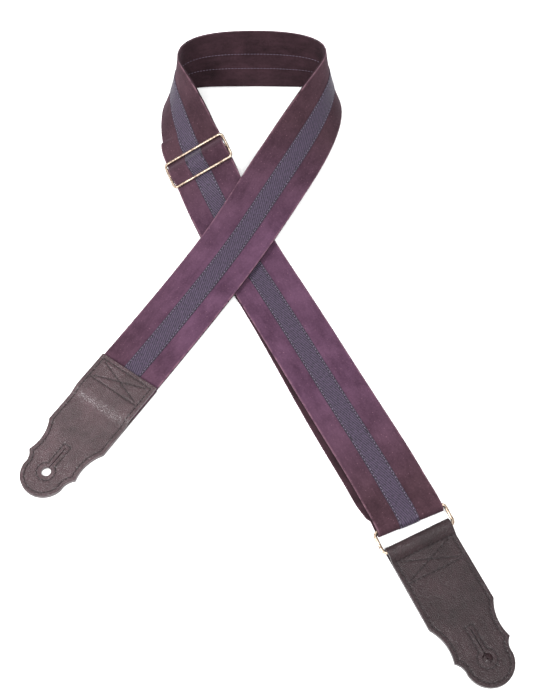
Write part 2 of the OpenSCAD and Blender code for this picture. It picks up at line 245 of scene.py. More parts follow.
# ---- Mesh helpers
def finishPiece(name, bm, material, body=None):
    mesh = bpy.data.meshes.new(name)
    bm.to_mesh(mesh)
    bm.free()
    piece = bpy.data.objects.new(name, mesh)
    bpy.context.scene.collection.objects.link(piece)
    mesh.materials.append(material)
    mesh.shade_smooth()
    mesh.set_sharp_from_angle(angle=radians(50))
    if body:
        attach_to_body(piece, body)
    return piece


def storeFlat(bm):
    # The flat place of every corner becomes the UV map, in metres
    uv = bm.loops.layers.uv.new("flat")
    for face in bm.faces:
        for loop in face.loops:
            loop[uv].uv = (loop.vert.co.x * mm, loop.vert.co.y * mm)


def flatStrip(s0, s1, across0, across1, low, high, step, columns, edge=0.0):
    bm = bmesh.new()
    bmesh.ops.create_grid(bm, x_segments=max(1, ceil((s1 - s0) / step)), y_segments=columns, size=0.5)
    bmesh.ops.scale(bm, vec=(s1 - s0, across1 - across0, 1), verts=bm.verts)
    bmesh.ops.translate(bm, vec=((s0 + s1) / 2, (across0 + across1) / 2, low), verts=bm.verts)
    made = bmesh.ops.extrude_face_region(bm, geom=bm.faces[:])
    top = [g for g in made["geom"] if isinstance(g, bmesh.types.BMVert)]
    bmesh.ops.translate(bm, vec=(0, 0, high - low), verts=top)
    bmesh.ops.recalc_face_normals(bm, faces=bm.faces)
    if edge:
        long = [e for e in bm.edges
                if abs(e.verts[0].co.y - e.verts[1].co.y) < 1e-4
                and abs(e.verts[0].co.z - e.verts[1].co.z) < 1e-4
                and (abs(e.verts[0].co.y - across0) < 1e-4 or abs(e.verts[0].co.y - across1) < 1e-4)]
        bmesh.ops.bevel(bm, geom=long, offset=edge, offset_type="OFFSET", segments=2, profile=0.5,
                        affect="EDGES", material=-1, clamp_overlap=True)
    return bm


def layOn(bm, run, rippled=True):
    storeFlat(bm)
    for v in bm.verts:
        s, across, out = v.co
        v.co = run.lay(s, across, out + (ripple(s, across) if rippled else 0))


def addStitch(bm, place, heading, size, slope=0.0):
    turn = Matrix.Rotation(heading, 4, "Z") @ Matrix.Rotation(pi / 2 - slope, 4, "Y")
    shape = Matrix.Diagonal((size[2] / 2, size[1] / 2, size[0] / 2, 1))
    bmesh.ops.create_uvsphere(bm, u_segments=8, v_segments=6, radius=1,
                              matrix=Matrix.Translation(place) @ turn @ shape)


# ---- Shader helpers
class Shader:
    def __init__(self, tree):
        self.tree = tree

    def add(self, kind, settings=None, **links):
        made = self.tree.nodes.new("ShaderNode" + kind)
        for key, value in (settings or {}).items():
            setattr(made, key, value)
        for key, value in links.items():
            self.feed(made, key, value)
        return made

    def feed(self, made, key, value):
        key = int(key[1:]) if key[0] == "_" and key[1:].isdigit() else key.replace("_", " ")
        socket = made.inputs[key]
        if isinstance(value, bpy.types.NodeSocket):
            self.tree.links.new(value, socket)
        else:
            socket.default_value = value

    def math(self, operation, a, b=0.0, clamp=False):
        return self.add("Math", {"operation": operation, "use_clamp": clamp}, _0=a, _1=b).outputs[0]

    def scaled(self, vector, factors):
        made = self.add("VectorMath", {"operation": "MULTIPLY"}, _0=vector, _1=factors)
        return made.outputs[0]

    def noise(self, vector, scale, detail=3.0, roughness=0.5):
        made = self.add("TexNoise", Vector=vector, Scale=scale, Detail=detail, Roughness=roughness)
        return made.outputs["Fac"]

    def mix(self, factor, a, b):
        made = self.add("Mix", {"data_type": "RGBA"})
        self.feed(made, "_0", factor)
        self.feed(made, "_6", a)
        self.feed(made, "_7", b)
        return made.outputs[2]

    def between(self, value, low, high, outLow=0.0, outHigh=1.0):
        made = self.add("MapRange", Value=value, From_Min=low, From_Max=high, To_Min=outLow, To_Max=outHigh)
        return made.outputs[0]

    def group(self, which, **links):
        made = self.add("Group", {"node_tree": which})
        for key, value in links.items():
            self.feed(made, key, value)
        return made


def newGroup(name, inputs, outputs):
    tree = bpy.data.node_groups.new(name, "ShaderNodeTree")
    for label, kind, value in inputs:
        socket = tree.interface.new_socket(name=label, in_out="INPUT", socket_type="NodeSocket" + kind)
        if value is not None:
            socket.default_value = value
    for label, kind in outputs:
        tree.interface.new_socket(name=label, in_out="OUTPUT", socket_type="NodeSocket" + kind)
    shader = Shader(tree)
    return shader, tree.nodes.new("NodeGroupInput"), tree.nodes.new("NodeGroupOutput")


def newMaterial(name, shadow):
    material = bpy.data.materials.new(name)
    material.use_nodes = True
    material.diffuse_color = (*shadow, 1)
    tree = material.node_tree
    shader = Shader(tree)
    surface = tree.nodes["Principled BSDF"]
    return material, shader, surface


def flatPlace(shader):
    return shader.add("UVMap", {"uv_map": "flat"}).outputs[0]


def objectPlace(shader):
    return shader.add("TexCoord").outputs["Object"]


# Suede nap: fine fibres, brushed streaks and slow patches
def makeNap():
    shader, inside, outside = newGroup(
        "suedeNap",
        [("Vector", "Vector", None), ("Deep", "Color", (0, 0, 0, 1)), ("Light", "Color", (1, 1, 1, 1)),
         ("Streak", "Float", 0.5)],
        [("Color", "Color"), ("Height", "Float")])
    place = inside.outputs["Vector"]
    fibre = shader.noise(shader.scaled(place, (1.0, 1.7, 1.0)), 2600, 2)
    tuft = shader.noise(place, 620, 3, 0.6)
    brushed = shader.noise(shader.scaled(place, (1.0, 2.6, 1.0)), 85, 4, 0.65)
    patch = shader.noise(place, 38, 4, 0.6)
    tone = shader.math("ADD", shader.between(patch, 0.36, 0.64, 0, 0.5),
                       shader.between(tuft, 0.3, 0.7, 0, 0.26))
    tone = shader.math("ADD", tone, shader.math("MULTIPLY", shader.between(brushed, 0.32, 0.68, 0, 0.45),
                                                inside.outputs["Streak"]))
    tone = shader.math("ADD", tone, shader.between(fibre, 0.25, 0.75, -0.12, 0.16), clamp=True)
    colour = shader.mix(tone, inside.outputs["Deep"], inside.outputs["Light"])
    height = shader.math("ADD", shader.math("MULTIPLY", fibre, 0.5), shader.math("MULTIPLY", tuft, 0.5))
    shader.tree.links.new(colour, outside.inputs["Color"])
    shader.tree.links.new(height, outside.inputs["Height"])
    return shader.tree


# Woven yarns: leaning ribs, turned back at each column edge, crossed by the weft
def makeWeave():
    shader, inside, outside = newGroup(
        "twillWeave",
        [("Vector", "Vector", None), ("Rib", "Float", 0.0016), ("Column", "Float", 0.05),
         ("Lean", "Float", 1.0), ("Deep", "Color", (0, 0, 0, 1)), ("Light", "Color", (1, 1, 1, 1))],
        [("Color", "Color"), ("Height", "Float")])
    parts = shader.add("SeparateXYZ", Vector=inside.outputs["Vector"])
    along, across = parts.outputs[0], parts.outputs[1]
    column = inside.outputs["Column"]
    folded = shader.math("ADD", across, shader.math("MULTIPLY", column, 0.5))
    folded = shader.add("Math", {"operation": "PINGPONG"}, _0=folded, _1=column).outputs[0]
    slant = shader.math("ADD", shader.math("MULTIPLY", along, inside.outputs["Lean"]), folded)
    wave = shader.math("DIVIDE", slant, inside.outputs["Rib"])
    rib = shader.math("SINE", shader.math("MULTIPLY", wave, 2 * pi))
    warp = shader.math("SINE", shader.math("MULTIPLY", across, 2 * pi / 0.00045))
    weft = shader.math("SINE", shader.math("MULTIPLY", along, 2 * pi / 0.0005))
    height = shader.math("ADD", shader.math("MULTIPLY", rib, 0.3), shader.math("MULTIPLY", warp, 0.08))
    height = shader.math("ADD", height, shader.math("MULTIPLY", shader.math("MULTIPLY", weft, warp), 0.1))
    height = shader.math("ADD", height, 0.5)
    uneven = shader.noise(shader.scaled(inside.outputs["Vector"], (1, 1.6, 1)), 480, 3, 0.6)
    tone = shader.math("ADD", height, shader.between(uneven, 0.3, 0.7, -0.3, 0.3), clamp=True)
    colour = shader.mix(tone, inside.outputs["Deep"], inside.outputs["Light"])
    shader.tree.links.new(colour, outside.inputs["Color"])
    shader.tree.links.new(height, outside.inputs["Height"])
    return shader.tree


# Leather grain: small pebbles, creases and pores
def makeGrain():
    shader, inside, outside = newGroup(
        "leatherGrain",
        [("Vector", "Vector", None), ("Pebble", "Float", 1500.0), ("Deep", "Color", (0, 0, 0, 1)),
         ("Light", "Color", (1, 1, 1, 1))],
        [("Color", "Color"), ("Height", "Float"), ("Polish", "Float")])
    place = inside.outputs["Vector"]
    bent = shader.add("VectorMath", {"operation": "MULTIPLY_ADD"},
                      _0=shader.add("TexNoise", Vector=place, Scale=700.0).outputs["Color"],
                      _1=(0.0006, 0.0006, 0.0006), _2=place).outputs[0]
    cells = shader.add("TexVoronoi", {"feature": "DISTANCE_TO_EDGE"}, Vector=bent,
                       Scale=inside.outputs["Pebble"]).outputs["Distance"]
    pebble = shader.between(cells, 0.0, 0.22)
    pores = shader.noise(place, 1900, 2)
    wrinkle = shader.noise(shader.scaled(place, (1.0, 2.0, 1.0)), 130, 5, 0.65)
    height = shader.math("ADD", shader.math("MULTIPLY", pebble, 0.5), shader.math("MULTIPLY", wrinkle, 0.8))
    height = shader.math("ADD", height, shader.math("MULTIPLY", pores, 0.15))
    slow = shader.noise(place, 38, 4, 0.6)
    tone = shader.math("ADD", shader.between(slow, 0.3, 0.7, 0, 0.55), shader.math("MULTIPLY", pebble, 0.25))
    tone = shader.math("ADD", tone, shader.between(wrinkle, 0.35, 0.65, -0.05, 0.2), clamp=True)
    colour = shader.mix(tone, inside.outputs["Deep"], inside.outputs["Light"])
    polish = shader.between(slow, 0.35, 0.7)
    for label, value in (("Color", colour), ("Height", height), ("Polish", polish)):
        shader.tree.links.new(value, outside.inputs[label])
    return shader.tree


nap, weave, grain = makeNap(), makeWeave(), makeGrain()


def bump(shader, surface, height, strength, distance):
    made = shader.add("Bump", Height=height, Strength=strength, Distance=distance)
    shader.tree.links.new(made.outputs[0], surface.inputs["Normal"])


suede = {
    "deep": (0.028, 0.011, 0.023), "light": (0.078, 0.036, 0.065),
    "brownDeep": (0.015, 0.006, 0.009), "brownLight": (0.048, 0.023, 0.031),
    # inside colours: the same suede darkened, as painted shade on the loop's inner face and the under plies
    "innerShadeDeep": (0.007, 0.003, 0.004), "innerShadeLight": (0.031, 0.014, 0.019),
    # pale colour for the face rims, edge wear and a painted rim highlight; also used for the fine flecks
    "wearAndRimHighlight": (0.20, 0.105, 0.135), "edgeFrom": 23.6, "edgeTo": 24.9,
    "centre": (0.020, 0.020, 0), "purpleFrom": 0.07, "brownFrom": 0.165,
}


# The inside copy is the same suede painted darker: painted shade on the inside ply
def makeSuede(inner):
    name = "suedeInsideShaded" if inner else "suede"
    material, shader, surface = newMaterial(name, suede["innerShadeLight"] if inner else suede["light"])
    place = flatPlace(shader)
    if inner:
        made = shader.group(nap, Vector=place, Deep=(*suede["innerShadeDeep"], 1),
                            Light=(*suede["innerShadeLight"], 1), Streak=0.8)
        colour = made.outputs["Color"]
    else:
        # The colour turns browner and darker away from the middle of the legs
        away = shader.add("VectorMath", {"operation": "DISTANCE"}, _0=objectPlace(shader),
                          _1=suede["centre"]).outputs["Value"]
        purple = shader.between(away, suede["purpleFrom"], suede["brownFrom"], 1.0, 0.0)
        deep = shader.mix(purple, (*suede["brownDeep"], 1), (*suede["deep"], 1))
        light = shader.mix(purple, (*suede["brownLight"], 1), (*suede["light"], 1))
        made = shader.group(nap, Vector=place, Deep=deep, Light=light, Streak=0.55)
        # A pale rim along both edges of the face, broken by noise: partly edge wear, partly a painted rim
        # highlight
        side = shader.math("ABSOLUTE", shader.add("SeparateXYZ", Vector=place).outputs[1])
        edge = shader.between(side, suede["edgeFrom"] * mm, suede["edgeTo"] * mm)
        rimWearAndHighlight = shader.math("MULTIPLY", edge, shader.between(shader.noise(place, 160, 3), 0.35, 0.6))
        fleck = shader.between(shader.noise(place, 900, 1), 0.68, 0.76, 0, 0.4)
        colour = shader.mix(shader.math("MULTIPLY", rimWearAndHighlight, 0.5), made.outputs["Color"],
                            (*suede["wearAndRimHighlight"], 1))
        colour = shader.mix(fleck, colour, (*suede["wearAndRimHighlight"], 1))
    shader.tree.links.new(colour, surface.inputs["Base Color"])
    surface.inputs["Roughness"].default_value = 0.95
    surface.inputs["Specular IOR Level"].default_value = 0.12
    surface.inputs["Sheen Weight"].default_value = 0.06 if inner else 0.1
    surface.inputs["Sheen Roughness"].default_value = 0.4
    surface.inputs["Sheen Tint"].default_value = (0.75, 0.55, 0.68, 1)
    bump(shader, surface, made.outputs["Height"], 0.7, 0.00025)
    return material


cloth = {
    "herringboneRibbon": {"deep": (0.004, 0.003, 0.007), "light": (0.052, 0.034, 0.064), "rib": 0.0016,
                          "column": 0.05, "lean": -0.35, "sheen": 0.12, "seamHalf": 6.5, "seamAt": -1.5},
    "webbing": {"deep": (0.008, 0.006, 0.008), "light": (0.030, 0.023, 0.029), "rib": 0.0016,
                "column": 0.05, "lean": 1.0, "sheen": 0.1},
}


def makeWoven(name):
    facts = cloth[name]
    material, shader, surface = newMaterial(name, facts["light"])
    made = shader.group(weave, Vector=flatPlace(shader), Rib=facts["rib"], Column=facts["column"],
                        Lean=facts["lean"], Deep=(*facts["deep"], 1), Light=(*facts["light"], 1))
    colour = made.outputs["Color"]
    if "seamHalf" in facts:
        # The two sewn rows pull the ribbon into furrows, which get painted shade: near-black colour along
        # each row
        side = shader.add("SeparateXYZ", Vector=flatPlace(shader)).outputs[1]
        side = shader.math("ABSOLUTE", shader.math("SUBTRACT", side, facts["seamAt"] * mm))
        side = shader.math("ABSOLUTE", shader.math("SUBTRACT", side, facts["seamHalf"] * mm))
        furrow = shader.between(side, 0.0003, 0.0009, 0.75, 0.0)
        colour = shader.mix(furrow, colour, (0.003, 0.002, 0.004, 1))
    shader.tree.links.new(colour, surface.inputs["Base Color"])
    rough = shader.between(made.outputs["Height"], 0, 1, 0.8, 0.62)
    shader.tree.links.new(rough, surface.inputs["Roughness"])
    surface.inputs["Specular IOR Level"].default_value = 0.3
    surface.inputs["Sheen Weight"].default_value = facts["sheen"]
    surface.inputs["Sheen Roughness"].default_value = 0.35
    bump(shader, surface, made.outputs["Height"], 0.8, 0.0002)
    return material


thread = {"rowColour": (0.150, 0.120, 0.175), "tabColour": (0.012, 0.007, 0.008)}


def makeThread(name, colour):
    material, shader, surface = newMaterial(name, colour)
    place = objectPlace(shader)
    strand = shader.noise(place, 2600, 2)
    dark = tuple(c * 0.45 for c in colour)
    shade = shader.mix(shader.between(strand, 0.35, 0.65), (*dark, 1), (*colour, 1))
    shader.tree.links.new(shade, surface.inputs["Base Color"])
    surface.inputs["Roughness"].default_value = 0.5
    surface.inputs["Specular IOR Level"].default_value = 0.25
    bump(shader, surface, strand, 0.5, 0.0001)
    return material


leather = {
    "deep": (0.014, 0.007, 0.008), "light": (0.054, 0.029, 0.034),
    "edgeDeep": (0.040, 0.014, 0.015), "edgeLight": (0.240, 0.105, 0.100),
    "pebble": 800.0,
}


# shadeFactor scales the leather's colour down to paint shade on a tab
def makeLeather(name, shadeFactor, shine):
    light = tuple(c * shadeFactor for c in leather["light"])
    deep = tuple(c * shadeFactor for c in leather["deep"])
    material, shader, surface = newMaterial(name, light)
    place = flatPlace(shader)
    made = shader.group(grain, Vector=place, Pebble=leather["pebble"], Deep=(*deep, 1), Light=(*light, 1))
    cut = shader.add("Attribute", {"attribute_name": "cutEdge"}).outputs["Fac"]
    needleHoleShade = shader.add("Attribute", {"attribute_name": "needle"}).outputs["Fac"]
    spot = shader.between(shader.noise(objectPlace(shader), 420, 3), 0.35, 0.65)
    dyed = shader.mix(spot, (*leather["edgeDeep"], 1), (*leather["edgeLight"], 1))
    colour = shader.mix(cut, made.outputs["Color"], dyed)
    # Needle holes get painted shade: near-black colour where the needle went through
    colour = shader.mix(needleHoleShade, colour, (0.006, 0.003, 0.004, 1))
    shader.tree.links.new(colour, surface.inputs["Base Color"])
    rough = shader.math("SUBTRACT", 0.42, shader.math("MULTIPLY", made.outputs["Polish"], 0.14))
    rough = shader.math("ADD", rough, shader.math("MULTIPLY", cut, 0.15), clamp=True)
    shader.tree.links.new(rough, surface.inputs["Roughness"])
    surface.inputs["Specular IOR Level"].default_value = shine
    bump(shader, surface, made.outputs["Height"], 0.8, 0.0004)
    return material


brass = {"bright": (0.55, 0.44, 0.345), "tarnish": (0.17, 0.12, 0.09)}


def makeBrass():
    material, shader, surface = newMaterial("antiqueBrass", brass["bright"])
    place = objectPlace(shader)
    patina = shader.noise(place, 190, 5, 0.65)
    rubbed = shader.between(patina, 0.38, 0.6)
    colour = shader.mix(rubbed, (*brass["tarnish"], 1), (*brass["bright"], 1))
    shader.tree.links.new(colour, surface.inputs["Base Color"])
    surface.inputs["Metallic"].default_value = 1.0
    fine = shader.noise(place, 2400, 2)
    rough = shader.math("ADD", shader.between(patina, 0.35, 0.65, 0.42, 0.24),
                        shader.math("MULTIPLY", fine, 0.1))
    shader.tree.links.new(rough, surface.inputs["Roughness"])
    bump(shader, surface, fine, 0.15, 0.0001)
    return material


suedeFace, suedeInsideShaded = makeSuede(False), makeSuede(True)
ribbonCloth, webbing = makeWoven("herringboneRibbon"), makeWoven("webbing")
rowThread = makeThread("rowThread", thread["rowColour"])
tabThread = makeThread("tabThread", thread["tabColour"])
fixedLeather = makeLeather("tabLeatherFixed", 1.0, 0.34)
# The free tab is the same leather at half brightness: painted shade
freeLeatherShaded = makeLeather("tabLeatherFreeShaded", 0.5, 0.24)
wireBrass = makeBrass()
print("materials made")


# ---- The band, layer by layer, in stretches; only the main stretch is tied to a body, the strap
stretches = {
    # name: from, to, bodies, where the first body lets go and the second takes over
    "main": (0, sSlider - 62, "strap", None),
    "sliderUp": (sSlider - 62, sSlider, ("strap", "slider"), (-60, -16)),
    "leg": (sSlider, sFold - 72, ("slider", "strap"), (16, 60)),
    "turn": (sFold - 72, sUnder + 66, ("strap", "turn"), None),
    "tail": (sUnder + 66, sEnd, ("strap", "slider"), None),
}
layers = {
    # name: low, high, half width, columns, material, slot, CAD nodes it stands for
    "face": (halfThick - band["face"], halfThick, halfWidth, 26, suedeFace, "suede", "face"),
    "core": (band["back"] - halfThick, halfThick - band["face"], halfWidth - 0.35, 10,
             webbing, "webbing", "core"),
    "back": (-halfThick, band["back"] - halfThick, halfWidth - 0.1, 26,
             suedeInsideShaded, "suede_inner", "backing"),
}
ribbon = {"width": 15, "offset": 1.5, "rowIn": 1.0, "dip": 0.2, "dome": 0.12, "columns": 34, "pitch": 2.7}
ribbonLow = -ribbon["offset"] - ribbon["width"] / 2
ribbonHigh = -ribbon["offset"] + ribbon["width"] / 2
stitchRows = (ribbonLow + ribbon["rowIn"], ribbonHigh - ribbon["rowIn"])
cadGroup = {"main": "strap", "turn": "turn", "tail": "return"}


def attach(piece, key):
    bodies, where = stretches[key][2:]
    if isinstance(bodies, str):
        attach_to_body(piece, bodies)
        return
    if where:
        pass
    elif key == "turn":
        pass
    else:
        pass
    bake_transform(piece)


def bandLayers():
    for key in stretches:
        s0, s1 = stretches[key][:2]
        step = 0.6 if key == "turn" else 1.5
        for layer, (low, high, half, columns, material, slotName, cadName) in layers.items():
            bm = flatStrip(s0, s1, -half, half, low, high, step, columns, edge=0.22)
            layOn(bm, bandRun)
            piece = finishPiece("band_%s_%s" % (layer, key), bm, material)
            if key in cadGroup:
                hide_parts("%s_%s" % (cadGroup[key], cadName))
            attach(piece, key)


def ribbonShape(s, across, out, top):
    if out < top - 0.01:
        return out
    near = min(abs(across - row) for row in stitchRows)
    middleWay = (across + ribbon["offset"]) / (ribbon["width"] / 2)
    puckers = 0.75 + 0.25 * cos(2 * pi * s / ribbon["pitch"])
    return out - ribbon["dip"] * puckers * exp(-(near / 0.45) ** 2) - ribbon["dome"] * middleWay ** 4


def ribbonPieces():
    for key in ("main", "sliderUp", "leg", "turn"):
        s0, s1 = stretches[key][:2]
        if key == "turn":
            s1 = sFold + 0.7 * (sUnder - sFold)
        bm = flatStrip(s0, s1, ribbonLow, ribbonHigh, halfThick + 0.02, ribbonTop, 0.9,
                       ribbon["columns"], edge=0.12)
        storeFlat(bm)
        for v in bm.verts:
            s, across, out = v.co
            out = ribbonShape(s, across, out, ribbonTop)
            v.co = bandRun.lay(s, across, out + ripple(s, across))
        piece = finishPiece("ribbon_%s" % key, bm, ribbonCloth)
        if key in ("main", "turn"):
            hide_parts("ribbon" if key == "main" else "turn_ribbon")
        attach(piece, key)


def threadRows():
    for key in ("main", "sliderUp", "leg", "turn"):
        s0, s1 = stretches[key][:2]
        if key == "turn":
            s1 = sFold + 0.6 * (sUnder - sFold)
        bm = bmesh.new()
        first = ceil(s0 / ribbon["pitch"])
        for i in range(first, floor(s1 / ribbon["pitch"])):
            for row in stitchRows:
                addStitch(bm, Vector(((i + 0.5) * ribbon["pitch"], row, ribbonTop - 0.06)), 0,
                          (ribbon["pitch"] * 0.74, 0.5, 0.42))
        layOn(bm, bandRun)
        piece = finishPiece("ribbon_stitches_%s" % key, bm, rowThread)
        if key in ("main", "turn"):
            group = "ribbon" if key == "main" else "turn"
            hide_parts(group + "_thread_left", group + "_thread_right")
        attach(piece, key)


def backRows():
    bm = bmesh.new()
    last = stretches["main"][1]
    for i in range(ceil(sCross / ribbon["pitch"]), floor((last - 4) / ribbon["pitch"])):
        for row in stitchRows:
            addStitch(bm, Vector(((i + 0.5) * ribbon["pitch"], row, -halfThick - 0.04)), 0,
                      (ribbon["pitch"] * 0.6, 0.45, 0.4))
    layOn(bm, bandRun)
    piece = finishPiece("backing_stitches", bm, rowThread, "strap")
    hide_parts("backing_thread_left", "backing_thread_right")


bandLayers()
ribbonPieces()
threadRows()
backRows()
print("band laid in %d stretches" % len(stretches))


# ---- The suede loop that holds the band's end to the slider's middle bar
loop = {"tail": 9.6, "gather": 3.6, "thick": 0.8}


def sliderLoop():
    tail = bandRun.sections[-1][0] - barAt
    outward = (tail - tail.dot(sliderAcross) * sliderAcross).normalized()
    normal = sliderAcross.cross(outward)
    wrap = wireR + slider["loopGap"] + loop["thick"] / 2
    sections = []
    for d in span(loop["tail"], 0.5, 18):
        height = loop["thick"] + (wrap - loop["thick"]) * smooth(1 - d / loop["gather"])
        sections.append((barAt + d * outward + height * normal, sliderAcross, normal))
    for a in span(radians(80), radians(280), 30):
        spoke = cos(a) * outward + sin(a) * normal
        sections.append((barAt + wrap * spoke, sliderAcross, spoke))
    for d in span(0.5, loop["tail"], 18):
        height = loop["thick"] + (wrap - loop["thick"]) * smooth(1 - d / loop["gather"])
        sections.append((barAt + d * outward - height * normal, sliderAcross, -normal))
    run = Run(sections)
    half = loop["thick"] / 2
    bm = flatStrip(0, run.lengths[-1], -halfWidth, halfWidth, -half, half, 0.5, 24, edge=0.2)
    layOn(bm, run, rippled=False)
    piece = finishPiece("slider_loop_suede", bm, suedeFace, "slider")
    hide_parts("slider_loop")
    bm = bmesh.new()
    for s in (2.4, run.lengths[-1] - 2.4):
        for across in span(-halfWidth + 3, halfWidth - 3, 12):
            addStitch(bm, Vector((s, across, half)), pi / 2, (2.6, 0.55, 0.45))
    layOn(bm, run, rippled=False)
    stitches = finishPiece("slider_loop_stitches", bm, tabThread, "slider")
    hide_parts("slider_loop_thread")


sliderLoop()
print("slider loop made")


# ---- End tabs
tab = {
    "length": 116, "width": 50, "cusp1": 53, "cusp2": 26, "cusp2Share": 0.851, "tipShare": 0.343,
    "sag1": 3.2, "sag2": 1.2, "holeR": 3.5, "holeIn": 19.5, "slit": 22, "slitHalf": 0.3,
    "inset": 3.0, "pitch": 3.6, "grid": 0.7, "edge": 0.36,
}
leatherThick = band["leather"]
flatZ = leatherThick + band["glue"]
halfTab = tab["width"] / 2
tipR = tab["tipShare"] * tab["width"]
tip = Vector((tab["length"] - tipR, 0))
holeX = tab["length"] - tab["holeIn"]
cusp1 = Vector((tab["length"] - tab["cusp1"], halfTab))
cusp2 = Vector((tab["length"] - tab["cusp2"], tab["cusp2Share"] * halfTab))


def scoop(a, b, sag):
    d = b - a
    r = (d.length_squared / 4 + sag * sag) / (2 * sag)
    return (a + b) / 2 + (r - sag) * Vector((-d.y, d.x)) / d.length, r


def meet(a, ra, b, rb, side=1):
    d = b - a
    s = (ra * ra - rb * rb + d.length_squared) / (2 * d.length)
    h = sqrt(max(0, ra * ra - s * s))
    return a + s * d.normalized() + side * h * Vector((d.y, -d.x)).normalized()


scoop1, scoop2 = scoop(cusp1, cusp2, tab["sag1"]), scoop(cusp2, Vector((tip.x, tipR - 0.2)), tab["sag2"])


def angleOf(p, centre):
    return atan2(p.y - centre.y, p.x - centre.x)


def arc(centre, r, a0, a1, step=0.7):
    count = max(2, ceil(abs(a1 - a0) * r / step))
    return [centre + r * Vector((cos(a), sin(a))) for a in span(a0, a1, count)]


def halfOutline(x0):
    low = max((meet(scoop2[0], scoop2[1], tip, tipR, side=k) for k in (-1, 1)), key=lambda p: p.x)
    points = [Vector((x0, 0)), Vector((x0, halfTab)), cusp1]
    points += arc(scoop1[0], scoop1[1], angleOf(cusp1, scoop1[0]), angleOf(cusp2, scoop1[0]))[1:]
    points += arc(scoop2[0], scoop2[1], angleOf(cusp2, scoop2[0]), angleOf(low, scoop2[0]))[1:]
    points += arc(tip, tipR, angleOf(low, tip), 0)[1:]
    hole = Vector((holeX, 0))
    points += arc(hole, tab["holeR"], 0, pi - asin(tab["slitHalf"] / tab["holeR"]), 0.35)
    points += [Vector((holeX - tab["slit"], tab["slitHalf"])), Vector((holeX - tab["slit"], 0))]
    return points


def lineRun(a, b):
    count = max(1, round((b - a).length / tab["pitch"]))
    d = (b - a) / count
    return [(a + (i + 0.5) * d, atan2(d.y, d.x)) for i in range(count)]


def arcRun(centre, r, a0, a1):
    count = max(1, round(abs(a1 - a0) * r / tab["pitch"]))
    d = (a1 - a0) / count
    angles = [a0 + (i + 0.5) * d for i in range(count)]
    return [(centre + r * Vector((cos(a), sin(a))), a + pi / 2) for a in angles]


def both(run):
    return run + [(Vector((p.x, -p.y)), -a) for p, a in run]


def edgeRun(x0):
    inset = tab["inset"]
    y = halfTab - inset
    a, b = scoop1[0], scoop2[0]
    ra, rb, rt = scoop1[1] + inset, scoop2[1] + inset, tipR - inset
    first = Vector((a.x - sqrt(ra * ra - (a.y - y) ** 2), y))
    m1 = meet(a, ra, b, rb)
    m2 = tip + rt * (b - tip).normalized()
    side = lineRun(Vector((x0, y)), first)
    side += arcRun(a, ra, angleOf(first, a), angleOf(m1, a))
    side += arcRun(b, rb, angleOf(m1, b), angleOf(m2, b))
    side += arcRun(tip, rt, angleOf(m2, tip), 0)
    return both(side) + lineRun(Vector((x0, inset - halfTab)), Vector((x0, halfTab - inset)))


def boxRun(xa, xb):
    y = halfTab - tab["inset"] - 1.5
    run = lineRun(Vector((xb, -y)), Vector((xb, y)))
    for k in (-1, 1):
        run += lineRun(Vector((xa + 2, -k * (y - 2))), Vector((xb - 2, k * (y - 2))))
    return run


def holeRun():
    r, w, end = tab["holeR"] + 3.3, 3, holeX - tab["slit"] - 2
    gapAngle = asin(w / r)
    run = arcRun(Vector((holeX, 0)), r, -pi + gapAngle, pi - gapAngle)
    run += both(lineRun(Vector((end, w)), Vector((holeX - r * cos(gapAngle), w))))
    return run + [(Vector((end - 0.5, 0)), pi / 2)]


def stepZ(x, x0, z0, run):
    return flatZ + (z0 - flatZ) * (1 - smooth((x - x0) / run))


tabs = {
    "fixed": {
        "body": "strap", "stepFrom": band["overlap"] + 1, "stepRun": 11, "start": 0, "rows": (3, 20),
        "high": leatherThick + band["glue"] + thickness + ribbonTop - halfThick + band["thread"] + 0.2,
        "material": fixedLeather, "top": "fixed_tab_top", "roll": False,
    },
    "free": {
        "body": "free_tab", "stepFrom": barZ + 0.4, "stepRun": 9, "start": barZ, "rows": (11, 29),
        "high": 2 * barZ - leatherThick, "material": freeLeatherShaded, "top": "free_tab_leather", "roll": True,
    },
}


def tabFrames():
    # Each tab's own frame: its origin on the floor and its heading
    hole = {m["name"]: Vector(m["pos_m"]) / mm for m in frame["record"]["mounts"] if "hole" in m["name"]}
    along = -ahead(1)
    tabs["fixed"]["heading"] = atan2(along.y, along.x)
    ringHeading = atan2(endAlong.y, endAlong.x) + radians(1)
    tabs["free"]["heading"] = ringHeading + radians(2.3)
    for key in tabs:
        a = tabs[key]["heading"]
        at = hole[key + "_button_hole"]
        tabs[key]["origin"] = Vector((at.x - holeX * cos(a), at.y - holeX * sin(a), 0))


tabFrames()
button = {"reach": 6.5, "left": 0.4, "dome": 1.5}


def tabGrid(x0, spacing):
    bm = bmesh.new()
    outline = halfOutline(x0)
    bm.faces.new([bm.verts.new((p.x, p.y, 0)) for p in outline])
    for axis, low, high in ((0, x0, tab["length"]), (1, 0, halfTab)):
        normal = Vector((1, 0, 0)) if axis == 0 else Vector((0, 1, 0))
        count = ceil((high - low) / spacing)
        for place in span(low, high, count)[1:-1]:
            bmesh.ops.bisect_plane(bm, geom=bm.verts[:] + bm.edges[:] + bm.faces[:], dist=1e-5,
                                   plane_co=normal * (place + 0.013), plane_no=normal)
    bmesh.ops.mirror(bm, geom=bm.verts[:] + bm.edges[:] + bm.faces[:], matrix=Matrix(), axis="Y",
                     merge_dist=1e-4)
    bmesh.ops.remove_doubles(bm, verts=bm.verts, dist=1e-4)
    return bm


